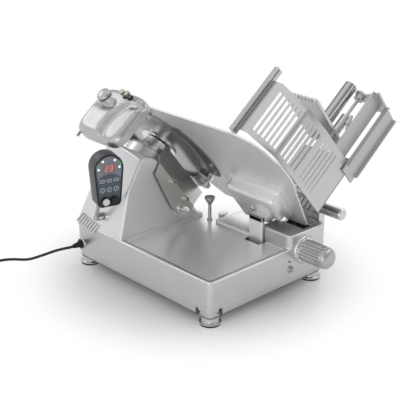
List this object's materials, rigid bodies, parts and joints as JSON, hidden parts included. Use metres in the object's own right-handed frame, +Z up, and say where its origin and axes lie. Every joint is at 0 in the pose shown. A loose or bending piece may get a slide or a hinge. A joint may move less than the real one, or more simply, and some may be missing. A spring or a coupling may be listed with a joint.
{
  "type": "gravity feed slicer",
  "caption": "Gravity feed slicer with a tilted round blade, sliding slotted carriage, gauge plate, thickness knob, sharpener, egg-shaped control panel and mains cord.",
  "frame": {"origin": "centre of the front left foot's sole, on the table", "axes": "+X to the carriage side, +Y from front to back, +Z up"},
  "size_m": [1.1099, 0.826, 0.6175],
  "materials": {
    "cast_aluminium": "satin, fine brushed casting",
    "inner_metal": "dull grey",
    "polished_steel": "polished",
    "blade_steel": "ground in fine circles",
    "stainless": "warm satin sheet",
    "rubber": "matt black",
    "case_plastic": "fine grained dark grey",
    "fascia": "satin grey film",
    "display": "dark red window",
    "lamp": "clear white",
    "key_print": "pale printed keys",
    "white_plastic": "smooth white",
    "black_plastic": "smooth black",
    "grit": "bonded grit"
  },
  "bodies": {
    "frame": {"base_casting": "cast_aluminium", "motor_housing": "cast_aluminium", "feet": "cast_aluminium", "ring_guard": "cast_aluminium", "sharpener_body": "cast_aluminium", "sharpener_lid": "cast_aluminium", "blade_cover": "cast_aluminium", "bottom_cover": "inner_metal", "motor": "inner_metal", "sharpener_bracket": "inner_metal", "hub_bearings": "inner_metal", "blade_neck": "polished_steel", "cover_tie_rod": "polished_steel", "guard_knob": "polished_steel", "deflector_rivets": "polished_steel", "deflector_post": "polished_steel", "gauge_rod": "polished_steel", "panel_stem": "polished_steel", "slide_rods": "polished_steel", "slice_deflector": "stainless", "foot_pads": "rubber", "drive_belt": "rubber", "cord_gland": "rubber", "mains_cord": "rubber", "cord_coil": "rubber", "mains_plug": "rubber", "panel_case": "case_plastic", "panel_screw": "case_plastic", "panel_fascia": "fascia", "display_window": "display", "panel_lamps": "lamp", "panel_keys": "key_print"},
    "blade_set": {"blade": "blade_steel", "blade_screws": "polished_steel", "blade_hub": "polished_steel", "blade_pulley": "inner_metal"},
    "drive_shaft": {"motor_shaft": "polished_steel"},
    "knob": {"thickness_knob": "cast_aluminium", "knob_shaft": "polished_steel"},
    "gauge": {"gauge_plate": "cast_aluminium", "gauge_edge_strip": "inner_metal", "strip_bolts": "polished_steel", "gauge_bracket": "cast_aluminium", "cover_screw": "polished_steel"},
    "carriage": {"guard_panel": "cast_aluminium", "food_table": "cast_aluminium", "carriage_fence": "cast_aluminium", "carriage_arm": "cast_aluminium", "carriage_foot": "cast_aluminium", "pusher_rod": "polished_steel"},
    "handle": {"carriage_knob": "cast_aluminium"},
    "pusher": {"pusher_head": "cast_aluminium"},
    "wing": {"pusher_wing": "white_plastic"},
    "stones": {"sharpener_buttons": "polished_steel", "sharpener_stones": "grit"},
    "clamp_knob": {"sharpener_knob": "polished_steel"},
    "start": {"start_button": "white_plastic"},
    "stop": {"stop_button": "black_plastic"},
    "lock": {"lock_button": "polished_steel"},
    "thumb_nut": {"deflector_nut": "polished_steel"}
  },
  "joints": [
    {"name": "blade_spin", "type": "hinge", "parent": "frame", "child": "blade_set", "pos_m": [0.247, 0.469, 0.329], "axis": [0.788, 0, 0.6157], "continuous": true},
    {"name": "motor_spin", "type": "hinge", "parent": "frame", "child": "drive_shaft", "pos_m": [0.20332, 0.421, 0.17051], "axis": [0.788, 0, 0.6157], "continuous": true},
    {"name": "thickness_turn", "type": "hinge", "parent": "frame", "child": "knob", "pos_m": [0.328, -0.026, 0.117], "axis": [0, 1, 0], "range_deg": [0, 330]},
    {"name": "gauge_slide", "type": "slide", "parent": "frame", "child": "gauge", "axis": [-0.788, 0, -0.6157], "range_m": [0, 0.0151]},
    {"name": "carriage_slide", "type": "slide", "parent": "frame", "child": "carriage", "axis": [0, 1, 0], "range_m": [0, 0.25]},
    {"name": "handle_turn", "type": "hinge", "parent": "carriage", "child": "handle", "pos_m": [0.433, -0.03, 0.203], "axis": [0, 1, 0], "range_deg": [-180, 180]},
    {"name": "pusher_slide", "type": "slide", "parent": "carriage", "child": "pusher", "axis": [0.788, 0, 0.6157], "range_m": [-0.175, 0.055]},
    {"name": "wing_turn", "type": "hinge", "parent": "pusher", "child": "wing", "pos_m": [0.52805, 0.019, 0.43056], "axis": [0, 1, 0], "range_deg": [0, 180]},
    {"name": "stone_press", "type": "slide", "parent": "frame", "child": "stones", "axis": [0.6157, 0, -0.788], "range_m": [0, 0.004], "stiffness_N_per_m": 400, "springref_m": -0.02},
    {"name": "clamp_turn", "type": "hinge", "parent": "frame", "child": "clamp_knob", "pos_m": [0.0291, 0.457, 0.5153], "axis": [-0.6157, 0, 0.788], "range_deg": [-180, 180]},
    {"name": "start_press", "type": "slide", "parent": "frame", "child": "start", "axis": [0.2755, 0.9607, 0.0349], "range_m": [0, 0.004], "stiffness_N_per_m": 300, "springref_m": -0.003},
    {"name": "stop_press", "type": "slide", "parent": "frame", "child": "stop", "axis": [0.2755, 0.9607, 0.0349], "range_m": [0, 0.004], "stiffness_N_per_m": 300, "springref_m": -0.003},
    {"name": "lock_press", "type": "slide", "parent": "frame", "child": "lock", "axis": [0, 1, 0], "range_m": [0, 0.004], "stiffness_N_per_m": 300, "springref_m": -0.003},
    {"name": "thumb_turn", "type": "hinge", "parent": "frame", "child": "thumb_nut", "pos_m": [0.2, 0.321, 0.168], "axis": [0, 1, 0], "range_deg": [-180, 180]}
  ],
  "couplings": [
    {"joint": "motor_spin", "follows": "blade_spin", "ratio": 2.5},
    {"joint": "gauge_slide", "follows": "thickness_turn", "m_per_rad": 0.0026}
  ]
}
